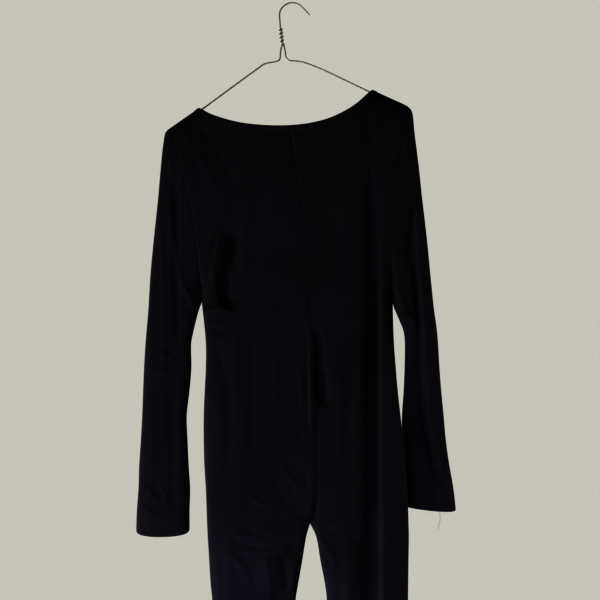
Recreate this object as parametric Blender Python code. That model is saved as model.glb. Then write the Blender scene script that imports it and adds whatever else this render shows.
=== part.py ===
"""A long-sleeved jersey jumpsuit that hangs on a wire hanger.

Lengths are in millimetres and are scaled to metres as each mesh is finished.
X runs across the garment, Y from front (-) to back (+), Z up. The origin is the
inside of the hanger hook's crown, where a nail holds the whole thing.

The garment hangs nearly flat. Every front piece is a wall on one depth field: how far the
front stands off the plane of the side seams at a point (x, z). The back is its mirror image
in that plane, with folds of its own.
"""

import math

import bmesh
import bpy
from mathutils import Matrix, Vector

MM = 0.001

WALL = 1.5            # jersey with its loft
BINDING_WALL = 2.2    # two layers of the same jersey
BINDING_WIDTH = 9.5
SEAM_GAP = 0.5        # between neighbouring pieces

CHEST = -490.0        # height of both underarm points
CROTCH = -855.0
FORK_TOP = -790.0     # from here down the trunk divides into legs
ARMPIT_REACH = 90.0   # above the chest line, trunk and sleeves merge over this height
TOP_TURN = 0.8        # share of the armhole above which it turns to meet the shoulder seam
FAN = 0.2             # share of a sleeve in which its rings fan out from the armhole

CHEST_DEPTH = 20.0    # half of the hollow's depth below the shoulders
SHOULDER_ROLL = 95.0  # height over which the cloth opens out below the hanger's arms
ROUNDNESS = 2.4       # 2 is an ellipse, more is flatter with tighter sides
FOLD_FREE = 8.0       # folds die out where the hollow is shallower than this
FOLD_RUN_OUT, FOLD_FADE = 0.1, 0.25  # shares of a fold's length: past its ends, and to its full height
NEAR = 0.001          # places closer than this are the same
THINNEST = 3.0        # a trough never presses the front nearer to the seam plane

BINDING_TURN = 0.15   # share of the half neckline on which the binding turns on to the shoulder

# Shoulder lines: a point, and the rise of the line for each unit along +X.
NECK_LEFT, SHOULDER_LEFT_SLOPE = (-147.8, -171.8), 0.70
NECK_RIGHT, SHOULDER_RIGHT_SLOPE = (136.5, -142.1), -0.453
ARMHOLE_TOP_X = {-1: -194.0, 1: 186.0}

# Finished neckline, from the left neck point to the right one: x, z.
NECKLINE = (
    (-147.8, -171.8),
    (-125.4, -184.0),
    (-83.0, -196.7),
    (-41.3, -201.8),
    (0.8, -202.2),
    (40.4, -197.3),
    (73.6, -187.1),
    (106.8, -168.6),
    (136.5, -142.1),
)
NECK_CENTRE_X = 2.0

# Chest and sleeve heads: height, left outer edge, left armhole, centre seam, right armhole,
# right outer edge.
UPPER = (
    (-490.0, -230.4, -143.5, 33.0, 170.5, 237.0),
    (-445.0, -227.7, -147.2, 29.5, 168.6, 232.5),
    (-400.0, -223.6, -151.0, 27.5, 168.0, 228.2),
    (-360.0, -219.4, -156.5, 24.5, 169.5, 223.8),
    (-320.0, -215.2, -164.0, 20.0, 173.4, 219.0),
    (-280.0, -211.8, -174.0, 14.0, 179.0, 214.8),
    (-240.0, -208.0, -184.5, 7.0, 184.0, 210.0),
    (-205.0, -203.8, -194.0, 2.0, 186.0, 205.8),
    (-165.0, -203.8, -194.0, 2.0, 186.0, 203.8),
)
U_OUTER = {-1: 1, 1: 5}
U_ARMHOLE = {-1: 2, 1: 4}
U_SEAM = 3

# Trunk: height, left side seam, centre seam, right side seam, half depth.
TRUNK = (
    (-855.0, -134.5, 34.7, 196.5, 20.0),
    (-835.0, -135.2, 41.5, 196.0, 21.0),
    (-800.0, -136.5, 47.5, 194.5, 22.0),
    (-760.0, -139.0, 47.8, 191.5, 23.0),
    (-720.0, -140.0, 45.5, 188.0, 23.0),
    (-680.0, -140.0, 44.0, 183.5, 23.0),
    (-640.0, -138.5, 42.5, 179.0, 22.0),
    (-600.0, -136.5, 41.0, 175.5, 22.0),
    (-560.0, -136.5, 39.0, 172.5, 22.0),
    (-520.0, -140.0, 35.5, 171.0, 22.0),
    (-490.0, -143.5, 33.0, 170.5, 21.0),
)
T_SIDE = {-1: 1, 1: 3}
T_SEAM = 2
T_DEPTH = 4

# Legs: height, left side seam, left inseam, right inseam, right side seam, half depth.
LEGS = (
    (-1615.0, -115.0, -9.0, 80.0, 187.0, 14.0),
    (-1480.0, -118.0, -4.0, 76.0, 190.5, 15.0),
    (-1330.0, -120.0, 0.0, 73.0, 193.0, 15.5),
    (-1190.0, -121.0, 1.5, 71.0, 194.0, 16.0),
    (-1080.0, -123.5, 4.5, 68.0, 195.0, 17.0),
    (-982.0, -126.0, 10.5, 63.0, 195.7, 17.5),
    (-957.0, -128.5, 14.5, 60.0, 196.0, 18.0),
    (-917.0, -131.0, 21.5, 52.3, 196.5, 18.5),
    (-878.0, -133.4, 28.0, 45.4, 197.0, 19.0),
    (-855.0, -134.5, 34.7, 34.7, 196.5, 20.0),
)
L_SIDE = {-1: 1, 1: 4}
L_INSEAM = {-1: 2, 1: 3}
L_DEPTH = 5

# Sleeves below the underarm: height, left outer, left inner, right inner, right outer, half depth,
# how far the right sleeve hangs behind the seam plane.
SLEEVES = (
    (-880.0, -251.6, -164.5, 191.5, 278.5, 12.0, 19.0),
    (-837.0, -250.3, -164.7, 191.5, 277.4, 12.0, 19.0),
    (-800.0, -247.6, -163.8, 192.2, 273.2, 12.0, 19.0),
    (-760.0, -246.3, -166.2, 190.6, 266.1, 12.0, 18.5),
    (-720.0, -243.7, -168.0, 188.6, 260.5, 11.5, 17.5),
    (-680.0, -241.5, -169.4, 188.6, 256.5, 11.5, 14.0),
    (-640.0, -240.0, -165.0, 190.7, 252.0, 11.5, 9.0),
    (-600.0, -238.4, -161.7, 191.9, 248.2, 11.5, 4.5),
    (-560.0, -236.0, -162.0, 192.0, 245.4, 12.0, 1.0),
    (-541.0, -234.4, -158.4, 190.0, 243.6, 12.5, 0.0),
    (-521.0, -232.6, -153.6, 182.4, 241.0, 13.0, 0.0),
    (-503.0, -231.2, -148.6, 174.6, 238.4, 13.5, 0.0),
    (-490.0, -230.4, -143.5, 170.5, 237.0, 14.0, 0.0),
)
S_OUTER = {-1: 1, 1: 4}
S_INNER = {-1: 2, 1: 3}
S_DEPTH = 5
S_SET_BACK = 6

# Where the sleeve heads turn over the hanger's ends, from the armhole's top outward: x, z.
SHOULDER_CORNER = {
    -1: ((-194.0, -204.1), (-200.0, -208.6), (-203.3, -213.0), (-205.0, -220.0), (-208.0, -240.0)),
    1: ((186.0, -164.5), (193.4, -168.2), (199.2, -172.8), (202.8, -179.6), (204.4, -190.0)),
}
CUFF_DIP, CUFF_ROUND = {-1: 9.5, 1: 4.0}, 0.8
CUFF_INNER = {-1: -865.6, 1: -828.5}
CUFF_OUTER = {-1: -866.6, 1: -837.2}

# Largest folds: from x, z to x, z, half width, height (a trough is negative).
FRONT_FOLDS = (
    (152.0, -330.0, 153.0, -1480.0, 9.0, 5.5),
    (134.0, -290.0, 134.0, -1440.0, 13.0, -9.0),
    (52.0, -560.0, 54.0, -660.0, 9.0, -6.0),
    (-112.0, -505.0, -92.0, -360.0, 17.0, -8.0),
    (-124.0, -450.0, -108.0, -385.0, 6.0, 3.5),
    (8.0, -880.0, -22.0, -985.0, 12.0, -5.0),
    (96.0, -880.0, 98.0, -1120.0, 12.0, 3.5),
    (-185.0, -285.0, -184.0, -560.0, 8.0, -3.5),
    (221.0, -440.0, 232.0, -665.0, 8.0, 4.0),
)
BACK_FOLDS = (
    (-86.0, -420.0, -92.0, -1300.0, 14.0, -7.0),
    (-66.0, -520.0, -72.0, -1250.0, 10.0, 4.0),
    (96.0, -600.0, 102.0, -1380.0, 13.0, -6.5),
    (128.0, -505.0, 112.0, -380.0, 16.0, -7.0),
    (-200.0, -420.0, -206.0, -700.0, 8.0, 3.5),
    (224.0, -560.0, 236.0, -780.0, 9.0, -3.5),
)

# Rows of a panel: heights from the hem to the chest line, then shares of the way up to the top edge.
PANEL_HEIGHTS = (
    -1615, -1545, -1465, -1385, -1305, -1225, -1150, -1085, -1030, -985, -945, -910, -880, -862, -855,
    -838, -815, -785, -748, -708, -668, -630, -595, -560, -525, -490,
)
PANEL_SHARES = (0.0, 0.13, 0.28, 0.44, 0.6, 0.75, 0.87, 0.945, 0.985, 1.0)
SLEEVE_RINGS = (
    0.0, 0.012, 0.028, 0.055, 0.09, 0.13, 0.17, 0.21, 0.255, 0.30, 0.345, 0.39, 0.435, 0.48, 0.53,
    0.58, 0.63, 0.68, 0.73, 0.78, 0.83, 0.88, 0.94, 1.0,
)
# A long piece of cloth is parted into solids at some of its rows, so that each solid is simple enough
# to stay open in collision. The parting is a hairline and no seam: name, first row, last row.
PANEL_PARTS = (("leg", 0, 11), ("hip", 11, 24), ("chest", 24, 34))
SLEEVE_PARTS = (("upper", 0, 16), ("lower", 16, 23))
HAIRLINE = 0.3
SHOULDER_COLUMNS, NECK_COLUMNS = 3, 6  # of a panel: those that end on the shoulder, and on the neck
SHOULDER_SHARE = SHOULDER_COLUMNS / (SHOULDER_COLUMNS + NECK_COLUMNS)
NECK_CROWDING = 1.6   # columns crowd towards the neck points

# Hanger wire: x, z. The hook runs from its tip to the foot of the twisted neck.
WIRE = 2.4
HOOK = (
    (34.2, -19.0), (28.8, -12.6), (23.3, -6.8), (17.7, -2.0), (12.0, 0.9), (6.3, 1.9), (0.3, 1.3),
    (-4.0, -0.4), (-8.4, -3.4), (-12.4, -7.8), (-14.9, -12.8), (-15.6, -18.5), (-15.2, -26.0),
    (-14.4, -36.0), (-12.8, -52.0), (-11.2, -67.0),
)
FRAME_LEFT = (
    (-12.9, -72.8), (-13.7, -77.0), (-14.1, -82.0), (-14.3, -87.0), (-15.6, -91.6), (-19.4, -94.4),
    (-27.9, -96.4), (-37.0, -98.0), (-42.6, -100.2), (-48.0, -104.0), (-96.0, -139.0), (-147.8, -177.0),
    (-186.0, -204.0), (-192.6, -208.8), (-196.6, -212.6), (-198.2, -216.4), (-197.0, -220.2),
    (-193.6, -222.2), (-187.0, -222.0),
)
FRAME_RIGHT = (
    (187.0, -184.4), (192.8, -183.6), (196.2, -181.6), (197.3, -178.8), (195.6, -175.7), (190.0, -172.0),
    (136.5, -146.8), (96.0, -127.6), (55.6, -108.4), (30.0, -98.2), (22.0, -95.8), (10.0, -94.2),
    (1.4, -93.4), (-3.0, -90.6), (-5.2, -86.4), (-5.9, -80.0),
)
NECK_TURNS, TURN_STEPS = 4, 10
COIL_START = -0.08 * math.pi  # where round the shank the wrapping begins
NECK_TOP, NECK_FOOT = -41.0, -66.0
NECK_COIL = WIRE + 0.35  # radius of the wrapped wire's centre line round the shank

JERSEY = (0.008, 0.0075, 0.009, 1.0)
JERSEY_BINDING = (0.010, 0.009, 0.011, 1.0)
WIRE_GREY = (0.05, 0.045, 0.04, 1.0)
CLOTH_ROUGHNESS = 0.85
WIRE_ROUGHNESS, WIRE_METALLIC = 0.45, 0.7


def ease(share):
    """0 to 1 with level ends."""
    share = min(max(share, 0.0), 1.0)
    return share * share * (3.0 - 2.0 * share)


def mix(a, b, share):
    return a + (b - a) * share


def read(table, column, at):
    """A table's column at a place between its rows, on one smooth curve."""
    rows = sorted((row[0], row[column]) for row in table)
    if at <= rows[0][0]:
        return rows[0][1]
    if at >= rows[-1][0]:
        return rows[-1][1]
    i = next(k for k in range(len(rows) - 1) if at <= rows[k + 1][0])
    (x0, y0), (x1, y1) = rows[i], rows[i + 1]
    slope = (y1 - y0) / (x1 - x0)

    def bend(k):
        """The curve's slope at row k."""
        before, after = rows[max(k - 1, 0)], rows[min(k + 1, len(rows) - 1)]
        return (after[1] - before[1]) / (after[0] - before[0])

    start = bend(i) if i > 0 else slope
    end = bend(i + 1) if i + 2 < len(rows) else slope
    run, t = x1 - x0, (at - x0) / (x1 - x0)
    return (
        y0 * (1 + 2 * t) * (1 - t) ** 2
        + y1 * t * t * (3 - 2 * t)
        + run * start * t * (1 - t) ** 2
        + run * end * t * t * (t - 1)
    )


def arch(x, left, right):
    """Section of a flattened tube: 0 at both edges, 1 midway."""
    across = abs(2.0 * (x - left) / (right - left) - 1.0)
    return (1.0 - across**ROUNDNESS) ** (1.0 / ROUNDNESS) if across < 1.0 else 0.0


def below_shoulder(x, z, neck, slope):
    """How far a point is below a shoulder line, square to the line."""
    return (neck[1] + slope * (x - neck[0]) - z) / math.hypot(1.0, slope)


def roll(drop):
    """How the cloth opens out as it leaves the hanger's arm."""
    return math.sqrt(1.0 - math.exp(-max(drop, 0.0) / SHOULDER_ROLL))


def hung_depth(x, z):
    """Half depth of the chest and the sleeve heads together, as they hang from the arms."""
    over = roll(below_shoulder(x, z, NECK_LEFT, SHOULDER_LEFT_SLOPE))
    over *= roll(below_shoulder(x, z, NECK_RIGHT, SHOULDER_RIGHT_SLOPE))
    across = arch(x, read(UPPER, U_OUTER[-1], z), read(UPPER, U_OUTER[1], z))
    if min(over, across) <= 0.0:
        return 0.0
    return CHEST_DEPTH * (over**-4 + across**-4) ** -0.25


def body_depth(side, x, z):
    """Half depth of the trunk, and of one leg below the fork."""
    if z > CHEST:
        trunk = TRUNK[-1][T_DEPTH] * arch(
            x, read(UPPER, U_ARMHOLE[-1], z), read(UPPER, U_ARMHOLE[1], z)
        )
        return mix(trunk, hung_depth(x, z), ease((z - CHEST) / ARMPIT_REACH))
    edges = (leg_edge(side, z), inner_edge(side, z))
    if z <= CROTCH:
        return read(LEGS, L_DEPTH, z) * arch(x, *edges)
    depth = read(TRUNK, T_DEPTH, z)
    trunk = depth * arch(x, read(TRUNK, T_SIDE[-1], z), read(TRUNK, T_SIDE[1], z))
    return mix(trunk, depth * arch(x, *edges), ease((FORK_TOP - z) / (FORK_TOP - CROTCH)))


def sleeve_edges(side, z):
    """X of the sleeve's outer edge, and of its inner edge or of the armhole above it."""
    if z < CHEST:
        return read(SLEEVES, S_OUTER[side], z), read(SLEEVES, S_INNER[side], z)
    return read(UPPER, U_OUTER[side], z), read(UPPER, U_ARMHOLE[side], z)


def sleeve_depth(side, x, z):
    """Half depth of a sleeve."""
    alone = read(SLEEVES, S_DEPTH, z) * arch(x, *sleeve_edges(side, z))
    return mix(alone, hung_depth(x, z), ease((z - CHEST) / ARMPIT_REACH))


def leg_edge(side, z):
    """X of the side seam."""
    return read(LEGS, L_SIDE[side], z) if z <= CROTCH else read(TRUNK, T_SIDE[side], z)


def inner_edge(side, z):
    """X of the inseam, or of the centre seam above the crotch."""
    if z <= CROTCH:
        return read(LEGS, L_INSEAM[side], z)
    return read(TRUNK, T_SEAM, z) if z <= CHEST else read(UPPER, U_SEAM, z)


def fold_height(folds, x, z):
    """What the folds add at a point: each is a soft ridge or trough along a line."""
    total = 0.0
    for x0, z0, x1, z1, width, height in folds:
        run = Vector((x1 - x0, z1 - z0))
        off = Vector((x - x0, z - z0))
        along = off.dot(run) / run.length_squared
        if -FOLD_RUN_OUT < along < 1 + FOLD_RUN_OUT:
            aside = (off - run * along).length / width
            ends = ease((along + FOLD_RUN_OUT) / FOLD_FADE) * ease((1 + FOLD_RUN_OUT - along) / FOLD_FADE)
            total += height * ends * math.exp(-aside * aside)
    return total


def with_folds(depth, folds):
    """The depth field with its folds, which die out towards every edge."""

    def field(x, z):
        plain = depth(x, z)
        folded = plain + fold_height(folds, x, z) * min(1.0, plain / FOLD_FREE)
        return max(folded, min(plain, THINNEST))

    return field


def outward(field, x, z, back):
    """The surface's outward direction from the slope of its field."""
    step = 0.4
    slope_x = (field(x + step, z) - field(x - step, z)) / (2 * step)
    slope_z = (field(x, z + step) - field(x, z - step)) / (2 * step)
    return Vector((-slope_x, 1.0 if back else -1.0, -slope_z)).normalized()


def neck_point(share):
    """The finished neckline at a share of its columns of x: point, and direction across the band."""
    x = mix(NECK_LEFT[0], NECK_RIGHT[0], share)
    step = 1.0
    rise = (read(NECKLINE, 1, x + step) - read(NECKLINE, 1, x - step)) / (2 * step)
    across = Vector((rise, -1.0)).normalized()
    if share < 0.5:
        shoulder = Vector((-1.0, -SHOULDER_LEFT_SLOPE)).normalized()
        turn = ease(2 * share / BINDING_TURN)
    else:
        shoulder = Vector((1.0, SHOULDER_RIGHT_SLOPE)).normalized()
        turn = ease(2 * (1 - share) / BINDING_TURN)
    across = shoulder.lerp(across, turn).normalized()
    return Vector((x, read(NECKLINE, 1, x))), across


def neck_share(side, along):
    """Share of the whole neckline for a share of one side of it, from its neck point to the centre."""
    centre = (NECK_CENTRE_X - NECK_LEFT[0]) / (NECK_RIGHT[0] - NECK_LEFT[0])
    return mix(0.0 if side < 0 else 1.0, centre, along**NECK_CROWDING)


def panel_top(side, share):
    """A panel's top edge: shoulder seam from the armhole to the binding, then the neckline."""
    edge = BINDING_WIDTH + SEAM_GAP
    neck, end = (NECK_LEFT, 0.0) if side < 0 else (NECK_RIGHT, 1.0)
    slope = SHOULDER_LEFT_SLOPE if side < 0 else SHOULDER_RIGHT_SLOPE
    corner, across = neck_point(end)
    corner = corner + across * edge
    if share <= SHOULDER_SHARE:
        tip_x = ARMHOLE_TOP_X[side]
        tip = Vector((tip_x, neck[1] + slope * (tip_x - neck[0])))
        return tip.lerp(corner, share / SHOULDER_SHARE)
    point, across = neck_point(neck_share(side, (share - SHOULDER_SHARE) / (1 - SHOULDER_SHARE)))
    return point + across * edge


def armhole(side, share):
    """The armhole from the underarm point up to the shoulder."""
    top = panel_top(side, 0.0)
    z = mix(CHEST, top.y, share)
    x = read(UPPER, U_ARMHOLE[side], z)
    return Vector((mix(x, top.x, ease((share - TOP_TURN) / (1.0 - TOP_TURN))), z))


def centre_seam(share):
    """The centre seam from the chest line up to the neckline."""
    top = panel_top(-1, 1.0)
    z = mix(CHEST, top.y, share)
    return Vector((read(UPPER, U_SEAM, z), z))


def patch(a, b, bottom, top, left, right):
    """A point of the sheet that four edges bound."""
    flat = bottom(0.0).lerp(bottom(1.0), a).lerp(top(0.0).lerp(top(1.0), a), b)
    sides = left(b).lerp(right(b), a)
    ends = bottom(a).lerp(top(a), b)
    return sides + ends - flat


def across_panel(share):
    """Columns lie closer at both seams, where the section turns."""
    return (1.0 - math.cos(math.pi * share)) / 2.0


def between(stations, share):
    """A value between listed stations, by share of their count."""
    place = share * (len(stations) - 1)
    k = min(int(place), len(stations) - 2)
    return mix(stations[k], stations[k + 1], place - k)


def panel_place(side, back):
    """Placing function of one body panel: column share from the side, row share from the hem."""
    field = with_folds(lambda x, z: body_depth(side, x, z), BACK_FOLDS if back else FRONT_FOLDS)
    lower, upper = len(PANEL_HEIGHTS) - 1, len(PANEL_SHARES) - 1
    chest_row = lower / (lower + upper)

    def chest_line(share):
        """The panel's width at the chest, from side seam to centre seam."""
        return Vector((mix(leg_edge(side, CHEST), inner_edge(side, CHEST), across_panel(share)), CHEST))

    def place(a, b):
        if b <= chest_row + 1e-6:
            z = between(PANEL_HEIGHTS, b / chest_row)
            point = Vector((mix(leg_edge(side, z), inner_edge(side, z), across_panel(a)), z))
        else:
            up = between(PANEL_SHARES, (b - chest_row) / (1 - chest_row))
            point = patch(
                a, up, chest_line, lambda t: panel_top(side, t), lambda t: armhole(side, t), centre_seam
            )
        x, z = point
        at_side, at_centre, at_top = a < 1e-6, a > 1 - 1e-6, b > 1 - 1e-6
        above_chest = z > CHEST + NEAR
        deep = field(x, z)
        if at_side and above_chest or at_top:
            out = outward(hung_depth, x, z, back)
        else:
            out = outward(field, x, z, back)
        on_plane = (
            at_side and not above_chest
            or at_centre and z < CROTCH + NEAR
            or at_top and a <= SHOULDER_SHARE + 1e-6
        )
        if on_plane:
            deep = 0.0
            out.y = 0.0
        if at_centre and z > CROTCH - NEAR:
            out.x = 0.0
        if at_centre and abs(z - CROTCH) < NEAR or at_side and abs(z - CHEST) < NEAR:
            out = Vector((0.0, 0.0, -1.0))
        gap = SEAM_GAP / 2
        if at_centre:
            x += side * gap
        elif at_side and above_chest:
            x -= side * gap
        y = deep + gap
        return Vector((x, y if back else -y, z)), out.normalized()

    return place


def sleeve_outer(side, share):
    """The sleeve's outer edge from the armhole's top, over the hanger's end, to the cuff."""
    corner = SHOULDER_CORNER[side]
    z = mix(corner[0][1], CUFF_OUTER[side], share)
    if z > corner[-1][1]:
        return Vector((read([(p[1], p[0]) for p in corner], 1, z), z))
    table, column = (SLEEVES, S_OUTER[side]) if z < CHEST else (UPPER, U_OUTER[side])
    return Vector((read(table, column, z), z))


def sleeve_inner(side, share):
    """The underarm seam from the underarm point to the cuff."""
    z = mix(CHEST, CUFF_INNER[side], share)
    return Vector((read(SLEEVES, S_INNER[side], z), z))


def cuff(side, share):
    """The cuff's edge from outside to inside: level, with a shallow dip."""
    ends = sleeve_outer(side, 1.0).lerp(sleeve_inner(side, 1.0), across_panel(share))
    return ends - Vector((0.0, CUFF_DIP[side] * (4 * share * (1 - share)) ** CUFF_ROUND))


def sleeve_place(side):
    """Placing function of a sleeve: once round from its outer edge, then armhole to cuff."""
    fields = [
        with_folds(lambda x, z: sleeve_depth(side, x, z), folds) for folds in (FRONT_FOLDS, BACK_FOLDS)
    ]

    def place(a, b):
        back = a > 0.5
        share = 2 * (1 - a) if back else 2 * a
        down = between(SLEEVE_RINGS, b)
        point = patch(
            share, down,
            lambda t: armhole(side, between(PANEL_SHARES, 1 - t)), lambda t: cuff(side, t),
            lambda t: sleeve_outer(side, t), lambda t: sleeve_inner(side, t),
        )
        x, z = point
        field = fields[back]
        at_armhole, at_edge = b < 1e-6, share < 1e-6 or share > 1 - 1e-6
        if not at_edge:
            outer, inner = sleeve_edges(side, z)
            x = mix(x, mix(outer, inner, across_panel(share)), ease(down / FAN))
        deep = 0.0 if at_edge else field(x, z)
        out = outward(hung_depth if at_armhole else field, x, z, back)
        if at_edge:
            out.y = 0.0
        if at_armhole and share > 1 - 1e-6:
            out = Vector((0.0, 0.0, -1.0))
        if at_armhole:
            x += side * SEAM_GAP / 2
        y = (deep if back else -deep) + (read(SLEEVES, S_SET_BACK, z) if side > 0 else 0.0)
        return Vector((x, y, z)), out.normalized()

    return place


def binding_place(a, b):
    """Placing function of the neck binding: front from left to right, then back again."""
    back = a > 0.5
    share = 2 * (1 - a) if back else 2 * a
    side = -1 if share < 0.5 else 1
    share = neck_share(side, 2 * min(share, 1 - share))
    point, across = neck_point(share)
    x, z = point + across * BINDING_WIDTH * b
    at_end = share < 1e-6 or share > 1 - 1e-6
    deep = 0.0 if at_end else hung_depth(x, z)
    out = outward(hung_depth, x, z, back)
    if at_end:
        out.y = 0.0
    return Vector((x, deep if back else -deep, z)), out.normalized()


def material(name, colour, roughness, metallic=0.0):
    made = bpy.data.materials.new(name)
    made.use_nodes = True
    shader = made.node_tree.nodes["Principled BSDF"]
    shader.inputs["Base Color"].default_value = colour
    shader.inputs["Roughness"].default_value = roughness
    shader.inputs["Metallic"].default_value = metallic
    return made


def add(name, data, collection, colour, roughness, metallic=0.0):
    made = bpy.data.objects.new(name, data)
    data.materials.append(material(name, colour, roughness, metallic))
    collection.objects.link(made)
    return made


def cloth(name, columns, rows, place, wall, collection, colour=JERSEY, part=None):
    """Rows of a grid laid out by its placing function and given their wall by one extrusion."""
    first, last = part or (0, rows)
    bm = bmesh.new()
    bmesh.ops.create_grid(bm, x_segments=columns, y_segments=last - first, size=0.5)
    out = bm.verts.layers.float_vector.new("outward")
    for vert in bm.verts:
        a, row = vert.co.x + 0.5, round((vert.co.y + 0.5) * (last - first)) + first
        vert.co, vert[out] = place(a, row / rows)
        if 0 < row < rows and row in (first, last):
            inward = place(a, (row + (1 if row == first else -1)) / rows)[0] - vert.co
            vert.co += inward.normalized() * HAIRLINE / 2
    bmesh.ops.remove_doubles(bm, verts=bm.verts, dist=0.001)
    grown = bmesh.ops.extrude_face_region(bm, geom=bm.faces[:], use_keep_orig=True)
    outer = {item for item in grown["geom"] if isinstance(item, bmesh.types.BMVert)}
    for vert in bm.verts:
        vert.co += vert[out] * (wall / 2 if vert in outer else -wall / 2)
    # The two rims of a parting are cut along the same diagonals, so they face each other evenly.
    bmesh.ops.triangulate(bm, faces=bm.faces[:], quad_method="SHORT_EDGE")
    bmesh.ops.recalc_face_normals(bm, faces=bm.faces)
    bmesh.ops.transform(bm, matrix=Matrix.Scale(MM, 4), verts=bm.verts)
    data = bpy.data.meshes.new(name)
    bm.to_mesh(data)
    bm.free()
    data.shade_smooth()
    return add(name, data, collection, colour, CLOTH_ROUGHNESS)


def wire(name, points, collection):
    """A round wire along points."""
    data = bpy.data.curves.new(name, "CURVE")
    data.dimensions = "3D"
    data.bevel_depth = WIRE / 2 * MM
    data.bevel_resolution = 2
    data.use_fill_caps = True
    line = data.splines.new("POLY")
    line.points.add(len(points) - 1)
    for spot, (x, y, z) in zip(line.points, points):
        spot.co = (x * MM, y * MM, z * MM, 1.0)
    return add(name, data, collection, WIRE_GREY, WIRE_ROUGHNESS, WIRE_METALLIC)


def shank_x(z):
    """X of the hook's shank at a height on the neck."""
    return read([(p[1], p[0]) for p in HOOK[-5:]], 1, z)


def neck_coil():
    """The frame's end, wrapped up round the shank."""
    steps = TURN_STEPS * NECK_TURNS
    points = []
    for k in range(steps + 1):
        turn = COIL_START + 2 * math.pi * NECK_TURNS * k / steps
        z = mix(NECK_FOOT, NECK_TOP, k / steps)
        points.append((shank_x(z) + NECK_COIL * math.cos(turn), -NECK_COIL * math.sin(turn), z))
    return points


def hanger(collection):
    wire("hanger_hook", [(x, 0.0, z) for x, z in HOOK], collection)
    frame = [(x, 0.0, z) for x, z in FRAME_LEFT + FRAME_RIGHT]
    wire("hanger_frame", frame + neck_coil(), collection)


def main():
    for old in list(bpy.data.objects):
        bpy.data.objects.remove(old, do_unlink=True)
    collection = bpy.data.collections.new("jumpsuit_on_hanger")
    bpy.context.scene.collection.children.link(collection)

    columns = SHOULDER_COLUMNS + NECK_COLUMNS
    rows = len(PANEL_HEIGHTS) + len(PANEL_SHARES) - 2
    for back, face in ((False, "front"), (True, "back")):
        for side, hand in ((-1, "left"), (1, "right")):
            place = panel_place(side, back)
            for name, first, last in PANEL_PARTS:
                cloth(f"{face}_{hand}_{name}", columns, rows, place, WALL, collection, part=(first, last))
    for side, hand in ((-1, "left"), (1, "right")):
        columns, rows = 2 * (len(PANEL_SHARES) - 1), len(SLEEVE_RINGS) - 1
        for name, first, last in SLEEVE_PARTS:
            cloth(
                f"sleeve_{hand}_{name}", columns, rows, sleeve_place(side), WALL, collection,
                part=(first, last),
            )
    cloth("neck_binding", 4 * NECK_COLUMNS, 1, binding_place, BINDING_WALL, collection, JERSEY_BINDING)
    hanger(collection)


main()
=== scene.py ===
"""The looks of a black jersey jumpsuit on a wire hanger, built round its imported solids.

Working lengths are in millimetres, as in a cutter's notes, and become metres as each mesh is made.
X runs across the garment, Y from front (-) to back (+), Z up, with the nail at the origin.
Side -1 is the left half as one faces the garment's front, side 1 the right half.
"""

import math

import bmesh
import bpy
import numpy as np
from mathutils import Matrix, Vector, noise


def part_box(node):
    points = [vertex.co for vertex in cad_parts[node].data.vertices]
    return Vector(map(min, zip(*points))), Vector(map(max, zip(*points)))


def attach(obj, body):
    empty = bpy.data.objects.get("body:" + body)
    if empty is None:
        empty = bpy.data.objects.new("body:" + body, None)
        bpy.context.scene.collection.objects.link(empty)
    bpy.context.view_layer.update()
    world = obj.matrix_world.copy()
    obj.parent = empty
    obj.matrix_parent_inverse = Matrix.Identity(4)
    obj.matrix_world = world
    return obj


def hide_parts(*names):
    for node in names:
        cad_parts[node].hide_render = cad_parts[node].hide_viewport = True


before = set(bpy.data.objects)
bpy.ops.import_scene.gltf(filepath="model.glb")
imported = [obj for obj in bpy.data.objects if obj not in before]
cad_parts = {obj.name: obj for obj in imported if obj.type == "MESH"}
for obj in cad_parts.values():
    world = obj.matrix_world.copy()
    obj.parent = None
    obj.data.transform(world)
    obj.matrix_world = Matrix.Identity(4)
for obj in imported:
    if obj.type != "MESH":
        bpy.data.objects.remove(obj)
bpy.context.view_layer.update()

MM = 0.001
ROOT = "root"

# ---- camera
# Level with the waist, square to the front, wide enough for the sleeves and a little wall.
VIEW_X, VIEW_Z = 18.2, -488.4
VIEW_WIDTH = 990.0
VIEW_DISTANCE = 1600.0
SENSOR_WIDTH = 36.0


def put_in_scene(thing):
    bpy.context.scene.collection.objects.link(thing)


def add_camera():
    lens = bpy.data.cameras.new("camera")
    lens.sensor_width = SENSOR_WIDTH
    lens.lens = SENSOR_WIDTH * VIEW_DISTANCE / VIEW_WIDTH
    camera = bpy.data.objects.new("camera", lens)
    camera.location = (VIEW_X * MM, -VIEW_DISTANCE * MM, VIEW_Z * MM)
    camera.rotation_euler = (math.pi / 2, 0.0, 0.0)
    put_in_scene(camera)
    bpy.context.scene.camera = camera


add_camera()

# ---- the garment's measures
HANDS = {-1: "left", 1: "right"}

SHELL = 0.9  # one layer of jersey
BINDING_SHELL = 0.42  # one layer of the binding's strip
BINDING_WIDTH = 9.5  # from the neckline to the band's lower edge
SEAM_GAP = 0.16  # between two pieces at their seam

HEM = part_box("front_left_leg")[0].z / MM
CHEST, CROTCH = -490.0, -855.0  # heights of the underarm points and of the fork
FORK_TOP = -790.0  # from here down, the trunk's section parts into two legs
ARMPIT_REACH = 90.0  # above the chest line, over which body and sleeve become one section
FAN = 0.2  # share of a sleeve over which its columns spread from the armhole

HEM_DEPTH = 25.0  # turned up inside, on legs and cuffs
TURN = 1.5  # from the outer layer to the turned one
FOLD_LIFT = 0.25  # lowest point of the rounded fold
FOLD_TOP = TURN / 2 + FOLD_LIFT

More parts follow.
